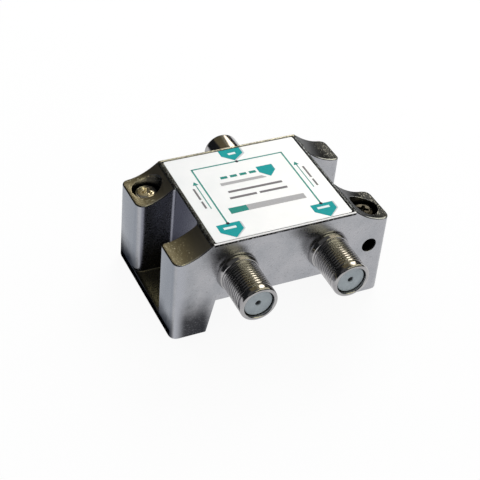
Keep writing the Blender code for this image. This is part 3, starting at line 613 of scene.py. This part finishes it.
def plain_pattern(name, dark, light, metallic, roughness, size):
    """A finish with one mottle between two tones, for small parts inside the housing."""
    made, tree, shader = new_material(name, light, metallic, roughness)
    place = node(tree, "ShaderNodeTexCoord").outputs["Object"]
    tone = mottled(tree, place, size, 3.0)
    bump = node(tree, "ShaderNodeBump", {"Height": tone, "Strength": 0.15,
                                         "Distance": 0.02 * MM})
    connect(tree, shader, {"Base Color": layered(tree, dark, light, tone),
                           "Normal": bump.outputs["Normal"]})
    return made


dress(plain_pattern("phenolic_paper_laminate", "#96804A", "#B59D62", 0.0, 0.55, 1.5),
      "circuit_board")
dress(plain_pattern("sintered_ferrite", "#26262A", "#38383D", 0.0, 0.5, 0.4),
      "matching_core", "splitting_core", "choke_core_left", "choke_core_right")
dress(plain_pattern("enamelled_copper_wire", "#8E3F22", "#B35C35", 0.9, 0.28, 0.8),
      "matching_winding", "splitting_winding", "choke_coil_left", "choke_coil_right")
dress(plain_pattern("dipped_ceramic", "#A9602A", "#C47A3D", 0.0, 0.4, 0.9),
      "input_capacitor", "output_capacitor_left", "output_capacitor_right")
dress(plain_pattern("resistor_lacquer", "#4A7E9E", "#6A9DBA", 0.0, 0.35, 0.7),
      "balance_resistor")

# Cover
# Tinned steel sheet, blanked to a rectangle and pressed into the ledge under the body. Its
# middle is raised by a small step, and its edges keep a fine burr.
SHEET = 0.5
STEP_MARGIN = 1.6
STEP_RUN = 0.5
STEP_RISE = 0.25


def tinned_sheet():
    """Bright tin on rolled steel, with fine rolling lines along X."""
    made, tree, shader = new_material("tinned_steel_sheet", "#B9BBBD", 1.0, 0.3)
    place = node(tree, "ShaderNodeTexCoord").outputs["Object"]
    # The noise is stretched forty times along the lines
    squeeze = node(tree, "ShaderNodeMapping", {"Vector": place, "Scale": (0.025, 1.0, 1.0)})
    rolled = squeeze.outputs["Vector"]
    lines = mottled(tree, rolled, 0.3, 3.0)
    bump = node(tree, "ShaderNodeBump", {"Height": lines, "Strength": 0.2,
                                         "Distance": 0.01 * MM})
    connect(tree, shader, {"Base Color": layered(tree, "#ACAEB1", "#C3C4C5", lines),
                           "Roughness": mottled(tree, rolled, 0.3, 3.0, 0.24, 0.38),
                           "Normal": bump.outputs["Normal"]})
    return made


low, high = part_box("bottom_cover")
bm = bmesh.new()
bmesh.ops.create_grid(bm, x_segments=1, y_segments=1, size=0.5)
bmesh.ops.scale(bm, verts=bm.verts, vec=(high.x - low.x, high.y - low.y, 1))
for margin in (STEP_MARGIN, STEP_RUN):
    middle = max(bm.faces, key=lambda f: f.calc_area())
    bmesh.ops.inset_region(bm, faces=[middle], thickness=margin * MM)
middle = max(bm.faces, key=lambda f: f.calc_area())
bmesh.ops.translate(bm, verts=middle.verts[:], vec=(0, 0, STEP_RISE * MM))
bmesh.ops.translate(bm, verts=bm.verts, vec=((high.x + low.x) / 2, (high.y + low.y) / 2, low.z))
cover = finish_piece("pressed_cover", bm, tinned_sheet(), angle=60)
thick = cover.modifiers.new("Sheet", "SOLIDIFY")
thick.thickness = SHEET * MM
thick.offset = 1.0
burr = cover.modifiers.new("Burr", "BEVEL")
burr.width = 0.08 * MM
burr.segments = 2
burr.limit_method = "ANGLE"
burr.angle_limit = math.radians(50)
baked(cover)
bm = bmesh.new()
bm.from_mesh(cover.data)
bmesh.ops.recalc_face_normals(bm, faces=bm.faces)
bm.to_mesh(cover.data)
bm.free()
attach(cover, "root")
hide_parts("bottom_cover")

# Ground clamps
# Two pan-head screws of zinc-plated steel in the deep ears. Each is turned down onto the
# ground wire, which enters by the hole in the face.
HEAD_RADIUS = 2.9
HEAD_HEIGHT = 2.2
DOME_HEIGHT = 1.0
SHANK_RADIUS = 1.95
SCREW_THREAD = 0.35
SCREW_PITCH = 0.7
SCREW_TURNS = 2.0
HEAD_TURNS = {"ground_screw_front": 0.9, "ground_screw_rear": 0.35}
# The driver's cross: its wings' reach and half width, the middle's half width, and the depth
WING_REACH = 1.75
WING_HALF = 0.36
CROSS_MIDDLE = 0.55
CROSS_DEPTH = 1.5


def plated_steel():
    """Zinc on steel, stained: painted light makes the rear screw bright and painted shade makes the
    front one nearly black.
    """
    made, tree, shader = new_material("zinc_plated_steel", "#ADA9A1", 1.0, 0.18)
    place = node(tree, "ShaderNodeTexCoord").outputs["Object"]
    stain = mottled(tree, place, 1.3, 2.0)
    # Painted light: the bright cream tones of the rear screw
    bright = layered(tree, "#C2BBAA", "#F4ECDA", (stain, 0.1, 0.8))
    right = node(tree, "ShaderNodeSeparateXYZ", {"Vector": place}).outputs["X"]
    # Painted shade: the front screw, on the right, nearly black
    base = layered(tree, bright, "#25231F", 0.985, (right, -0.01, 0.01))
    connect(tree, shader, {"Base Color": base,
                           "Roughness": mottled(tree, place, 1.3, 2.0, 0.1, 0.26)})
    return made


def screw_profile(top):
    """Half of a screw's outline, from the middle of its end to the middle of its domed head."""
    root = SHANK_RADIUS - SCREW_THREAD
    under = top - HEAD_HEIGHT
    outline = [(0, 0), (SHANK_RADIUS * 0.55, 0), (root, SHANK_RADIUS * 0.4), (root, under),
               (HEAD_RADIUS * 0.97, under), (HEAD_RADIUS, under + 0.12),
               (HEAD_RADIUS, top - DOME_HEIGHT)]
    for i in range(1, 9):
        angle = 0.5 * math.pi * i / 8
        outline.append((HEAD_RADIUS * (0.6 + 0.4 * math.cos(angle)),
                        top - 0.15 - DOME_HEIGHT * (1 - math.sin(angle))))
    return outline + [(HEAD_RADIUS * 0.35, top - 0.05), (0, top)]


def cross_tool(turn, top):
    """A driver's tip: four tapered wings round a blunt middle, standing in a head."""
    bm = bmesh.new()
    mouth = []
    floor = []
    for i in range(4):
        around = Matrix.Rotation(turn + math.pi / 2 * i, 4, "Z")
        for x, y in ((WING_REACH, -WING_HALF), (WING_REACH, WING_HALF),
                     (CROSS_MIDDLE, CROSS_MIDDLE)):
            above = Vector((x, y, top + 0.3)) * MM
            below = Vector((x * 0.5, y * 0.55, top - CROSS_DEPTH)) * MM
            mouth.append(bm.verts.new(around @ above))
            floor.append(bm.verts.new(around @ below))
    bm.faces.new(mouth)
    bm.faces.new(floor)
    for i in range(len(mouth)):
        bm.faces.new((mouth[i - 1], mouth[i], floor[i], floor[i - 1]))
    bmesh.ops.recalc_face_normals(bm, faces=bm.faces)
    return finish_piece("driver_tool", bm, screw_steel)


screw_steel = plated_steel()
screw_thread = thread_tree(screw_steel)
for name, turn in HEAD_TURNS.items():
    low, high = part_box(name)
    top = (high.z - low.z) / MM
    screw = finish_piece("pan_head_" + name, turned(screw_profile(top), 64, closed=False),
                         screw_steel)
    tool = cross_tool(turn, top)
    recess = screw.modifiers.new("Recess", "BOOLEAN")
    recess.object = tool
    recess.solver = "EXACT"
    lips = screw.modifiers.new("Lips", "BEVEL")
    lips.width = 0.06 * MM
    lips.segments = 2
    lips.limit_method = "ANGLE"
    lips.angle_limit = math.radians(40)
    baked(screw)
    bpy.data.objects.remove(tool)
    cut_thread(screw, screw_thread,
               {"Root radius": (SHANK_RADIUS - SCREW_THREAD) * MM,
                "Crest height": SCREW_THREAD * MM, "Pitch": SCREW_PITCH * MM,
                "Start": SHANK_RADIUS * 0.45 * MM, "Turns": SCREW_TURNS})
    middle = (low + high) / 2
    screw.data.transform(Matrix.Translation((middle.x, middle.y, low.z)))
    shade(screw.data, 35)
    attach(screw, "root")
    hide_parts(name)

# Label
# White polyester film with a gloss face, stuck in the platform's shallow tray. The print is
# plain: port tags, the lines of the splitting diagram, two arrows and bars where words were.
FILM_CORNER = 0.5
INK_THICKNESS = 0.012
IN_X = -0.2
LEFT_X = -12.3
RIGHT_X = 11.9
BAR = 0.75
LINE = 0.4


def gloss_film():
    """Gloss polyester over a white ground, with the faint waves of a stuck film."""
    made, tree, shader = new_material("gloss_polyester_film", "#F6F7F7", 0.0, 0.3, IOR=1.45)
    place = node(tree, "ShaderNodeTexCoord").outputs["Object"]
    tone = mottled(tree, place, 6.0, 2.0)
    bump = node(tree, "ShaderNodeBump", {"Height": mottled(tree, place, 1.2, 2.0),
                                         "Strength": 0.08, "Distance": 0.01 * MM})
    connect(tree, shader, {"Base Color": layered(tree, "#F4F6F6", "#F9FAFA", tone),
                           "Normal": bump.outputs["Normal"]})
    return made


def ink(name, colour, darker):
    """Screen-printed ink: an even coat with a faint mesh in its tone."""
    made, tree, shader = new_material(name, colour, 0.0, 0.5, **{"Specular IOR Level": 0.1})
    place = node(tree, "ShaderNodeTexCoord").outputs["Object"]
    tone = mottled(tree, place, 0.5, 2.0)
    connect(tree, shader, {"Base Color": layered(tree, darker, colour, tone)})
    return made


def printed(name, shapes, made, lift):
    """Flat shapes of ink, as corner lists in mm, made thin solids a lift above the film."""
    bm = bmesh.new()
    base = (LABEL_TOP + lift) * MM
    flat = [bm.faces.new([bm.verts.new((x * MM, y * MM, base)) for x, y in corners])
            for corners in shapes]
    pushed = bmesh.ops.extrude_face_region(bm, geom=flat)
    risen = [v for v in pushed["geom"] if isinstance(v, bmesh.types.BMVert)]
    bmesh.ops.translate(bm, verts=risen, vec=(0, 0, INK_THICKNESS * MM))
    bmesh.ops.recalc_face_normals(bm, faces=bm.faces)
    piece = finish_piece(name, bm, made)
    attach(piece, "root")


def stroke(x0, y0, x1, y1, width):
    """A straight stroke of ink."""
    start, end = Vector((x0, y0)), Vector((x1, y1))
    along = (end - start).normalized()
    side = Vector((-along.y, along.x)) * width / 2
    return [tuple(start - side), tuple(end - side), tuple(end + side), tuple(start + side)]


def disc(x, y, radius, steps=20):
    """A round dot of ink."""
    turns = [2 * math.pi * i / steps for i in range(steps)]
    return [(x + radius * math.cos(turn), y + radius * math.sin(turn)) for turn in turns]


def tag(x, top, half, shoulder, tip, lean=0.0):
    """A home-plate tag whose point looks to the front."""
    return [(x - half, top), (x - half, shoulder), (x + lean, tip), (x + half, shoulder),
            (x + half, top)]


low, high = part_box("label")
LABEL_TOP = high.z / MM
bm = bmesh.new()
bmesh.ops.create_cube(bm, size=1.0)
bmesh.ops.scale(bm, verts=bm.verts, vec=high - low)
bmesh.ops.translate(bm, verts=bm.verts, vec=(low + high) / 2)
upright = [e for e in bm.edges if abs(e.verts[0].co.z - e.verts[1].co.z) > 0.1 * MM]
bmesh.ops.bevel(bm, geom=upright, offset=FILM_CORNER * MM, segments=5, profile=0.5,
                affect="EDGES")
film = finish_piece("label_film", bm, gloss_film())
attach(film, "root")
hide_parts("label")

teal = ink("teal_screen_ink", "#08A3A4", "#06999B")
green = ink("green_screen_ink", "#2C9488", "#288A80")
grey = ink("light_grey_screen_ink", "#B9B8B9", "#B0AFB0")
slate = ink("slate_grey_screen_ink", "#7E7B7D", "#767376")
black = ink("black_screen_ink", "#2A2A38", "#222230")
white = ink("white_screen_ink", "#F2FAFA", "#E8F4F4")
pale = ink("pale_grey_screen_ink", "#CFD6D8", "#C8D0D2")

# Three port tags with a pale shadow to their right, and a smaller one beside the heading
printed("tag_shadows", [tag(IN_X + 0.35, 16.1, 2.95, 13.6, 11.25, -0.35),
                        tag(LEFT_X + 0.35, -10.7, 2.95, -13.4, -15.9),
                        tag(RIGHT_X + 0.35, -10.9, 2.95, -13.6, -16.05)], pale, 0.002)
printed("port_tags", [tag(IN_X, 16.2, 2.9, 13.85, 11.5, -0.3),
                      tag(LEFT_X, -10.6, 2.95, -13.3, -15.85),
                      tag(RIGHT_X, -10.9, 2.95, -13.5, -16.05),
                      tag(5.35, 7.3, 2.15, 5.0, 2.8)], teal, 0.008)
printed("tag_bars", [stroke(IN_X - 0.9, 14.25, IN_X + 1.1, 14.35, BAR),
                     stroke(LEFT_X - 1.7, -12.2, LEFT_X + 1.5, -12.2, BAR),
                     stroke(RIGHT_X - 1.7, -12.4, RIGHT_X + 1.5, -12.4, BAR)], white, 0.022)
# The diagram: one line from the input that splits to both outputs, with a dot at each port
printed("diagram_lines", [stroke(LEFT_X - 0.1, 10.95, RIGHT_X + 0.2, 10.95, LINE),
                          stroke(LEFT_X, 11.1, LEFT_X, -10.6, LINE),
                          stroke(RIGHT_X + 0.1, 11.1, RIGHT_X, -10.9, LINE)], green, 0.006)
printed("port_dots", [disc(IN_X - 0.06, 10.9, 0.42), disc(LEFT_X + 0.05, -10.6, 0.45),
                      disc(RIGHT_X, -10.9, 0.45)], black, 0.016)
arrows = []
for x, y in ((-13.65, 6.4), (13.35, 6.3)):
    arrows.append([(x, y), (x - 0.72, y - 1.3), (x + 0.72, y - 1.3)])
    arrows.append(stroke(x, y - 1.2, x, y - 10.8, 0.24))
printed("pass_arrows", arrows, green, 0.007)
# Fields of colour and bars of the words' length in the middle and beside the arrows
printed("grey_rule", [[(-7.85, 3.9), (-7.85, 2.85), (4.2, 2.75), (3.2, 3.75)]], grey, 0.004)
printed("grey_strip", [[(-5.35, -5.6), (-5.35, -7.65), (9.7, -7.8), (9.7, -5.9)]], grey, 0.004)
printed("teal_strip", [[(-9.95, -5.55), (-9.95, -7.7), (-5.35, -7.6), (-5.35, -5.6)]], green,
        0.005)
printed("heading_bar", [stroke(-6.9 + i * 2.55, 5.75, -5.1 + i * 2.55, 5.75, 0.9)
                        for i in range(4)], green, 0.006)
words = [stroke(-7.3, 0.15, 6.9, 0.0, BAR), stroke(-7.9, -2.2, -0.9, -2.25, BAR),
         stroke(-0.1, -2.25, 7.2, -2.35, BAR)]
for x, start, gap, end in ((-14.75, -3.9, -1.2, 3.9), (14.55, -4.2, -1.5, 3.9)):
    words.append(stroke(x, start, x, gap, 0.5))
    words.append(stroke(x, gap + 0.7, x, end, 0.5))
printed("word_bars", words, slate, 0.004)

# Studio
# The photograph's camera, a pale floor, one soft lamp and a soft white world. Cards that only
# reflections see stand around the object, to give the nickel dark, cream and brown to mirror.
# The dark room's walls and roof, in metres
ROOM_X = (-1.6, 2.2)
ROOM_Y = (-1.3, 1.2)
CEILING = 1.3


def background_rays(tree):
    """1 for rays that show the background: from the camera, off gloss or through glass."""
    ray = node(tree, "ShaderNodeLightPath").outputs
    return either(tree, ray["Is Camera Ray"], ray["Is Transmission Ray"], ray["Is Glossy Ray"])


floor_mesh = bpy.data.meshes.new("floor")
bm = bmesh.new()
bmesh.ops.create_grid(bm, x_segments=1, y_segments=1, size=3.0)
bmesh.ops.translate(bm, verts=bm.verts, vec=(0, 0, -0.1 * MM))
bm.to_mesh(floor_mesh)
bm.free()
floor = bpy.data.objects.new("floor", floor_mesh)
bpy.context.scene.collection.objects.link(floor)
paper, tree, shader = new_material("white_paper_sweep", "#FFFFFF", 0.0, 0.9)
place = node(tree, "ShaderNodeTexCoord").outputs["Object"]
tone = mottled(tree, place, 40.0, 2.0)
connect(tree, shader, {"Base Color": layered(tree, "#FBFBFB", "#FFFFFF", tone)})
glow = node(tree, "ShaderNodeEmission", {"Color": "#FFFFFF", "Strength": 1.0})
# The rest of the mix is lit paper, which keeps the object's shadow
lit = node(tree, "ShaderNodeMixShader", {0: zone(tree, 0.92, background_rays(tree)),
                                         1: shader.outputs[0], 2: glow.outputs[0]})
connect(tree, tree.nodes["Material Output"], {"Surface": lit.outputs[0]})
floor_mesh.materials.append(paper)

world = bpy.data.worlds.new("studio")
bpy.context.scene.world = world
world.use_nodes = True
tree = world.node_tree
tree.nodes.clear()
soft = node(tree, "ShaderNodeBackground", {"Color": "#FFFFFF", "Strength": 0.72})
clear = node(tree, "ShaderNodeBackground", {"Color": "#FFFFFF", "Strength": 1.0})
mix = node(tree, "ShaderNodeMixShader", {0: background_rays(tree), 1: soft.outputs[0],
                                         2: clear.outputs[0]})
node(tree, "ShaderNodeOutputWorld", {"Surface": mix.outputs[0]})

light = bpy.data.lights.new("key_box", "AREA")
light.shape = "SQUARE"
light.size = 0.3
light.energy = 1.5
key = bpy.data.objects.new("key_box", light)
bpy.context.scene.collection.objects.link(key)
key.location = (0.30, 0.37, 0.36)
key.rotation_euler = (Vector((0, 0, 0.01)) - key.location).to_track_quat("-Z", "Y").to_euler()
key.visible_glossy = False


def card(name, faces, colour, strength=1.0):
    """A card that only reflections see: it darkens or warms a part of the surround."""
    mesh = bpy.data.meshes.new(name)
    bm = bmesh.new()
    for corners in faces:
        bm.faces.new([bm.verts.new(corner) for corner in corners])
    bm.to_mesh(mesh)
    bm.free()
    tone = bpy.data.materials.new(name)
    tone.use_nodes = True
    tree = tone.node_tree
    tree.nodes.clear()
    glow = node(tree, "ShaderNodeEmission", {"Color": colour, "Strength": strength})
    node(tree, "ShaderNodeOutputMaterial", {"Surface": glow.outputs[0]})
    mesh.materials.append(tone)
    board = bpy.data.objects.new(name, mesh)
    bpy.context.scene.collection.objects.link(board)
    board.visible_camera = False
    board.visible_diffuse = False
    board.visible_transmission = False
    board.visible_shadow = False


def facing_card(name, direction, distance, width, height, colour, strength=1.0):
    """A card square to a direction from the object."""
    aim = Vector(direction).normalized()
    side = Vector((aim.y, -aim.x, 0)).normalized()
    rise = side.cross(aim)
    corners = [aim * distance + side * sx * width / 2 + rise * sz * height / 2
               for sx, sz in ((-1, -1), (1, -1), (1, 1), (-1, 1))]
    card(name, [corners], colour, strength)


room = [(ROOM_X[0], ROOM_Y[0]), (ROOM_X[1], ROOM_Y[0]), (ROOM_X[1], ROOM_Y[1]),
        (ROOM_X[0], ROOM_Y[1])]
card("black_cloth", [[(*a, 0.0), (*b, 0.0), (*b, CEILING), (*a, CEILING)]
                     for a, b in zip(room, room[1:] + room[:1])], "#26272A")
card("grey_roof", [[(*corner, CEILING) for corner in room]], "#5E5E5E")
facing_card("warm_card", (0.40, 0.65, 0.65), 0.9, 0.40, 0.5, "#9A947E")
facing_card("brown_card", (-0.02, 0.66, 0.74), 0.95, 0.60, 0.5, "#70674F", 1.15)
facing_card("cream_box", (0.505, 0.65, 0.565), 0.8, 0.2, 0.34, "#FFF4DC", 4.6)
facing_card("cream_roof", (0.42, 0.10, 0.90), 0.9, 0.6, 0.45, "#E9DEC0", 1.2)
facing_card("front_strip", (0.35, -0.65, 0.64), 0.9, 0.8, 0.42, "#DCD7B4", 3.4)
facing_card("side_box", (0.80, 0.17, 0.57), 0.85, 0.5, 0.42, "#E4DDC0", 1.4)

# The camera's place, turn and lens were fitted to the object's corners in the photograph
camera = bpy.data.cameras.new("photograph")
camera.sensor_width = 36
camera.lens = 86.667
camera.clip_start = 0.01
camera.clip_end = 10
viewer = bpy.data.objects.new("photograph", camera)
bpy.context.scene.collection.objects.link(viewer)
viewer.location = (-0.107668, -0.194514, 0.193209)
viewer.rotation_euler = Euler([math.radians(a) for a in (50.2724, -4.5345, -24.5433)])
bpy.context.scene.camera = viewer
bpy.context.scene.view_settings.view_transform = "Standard"
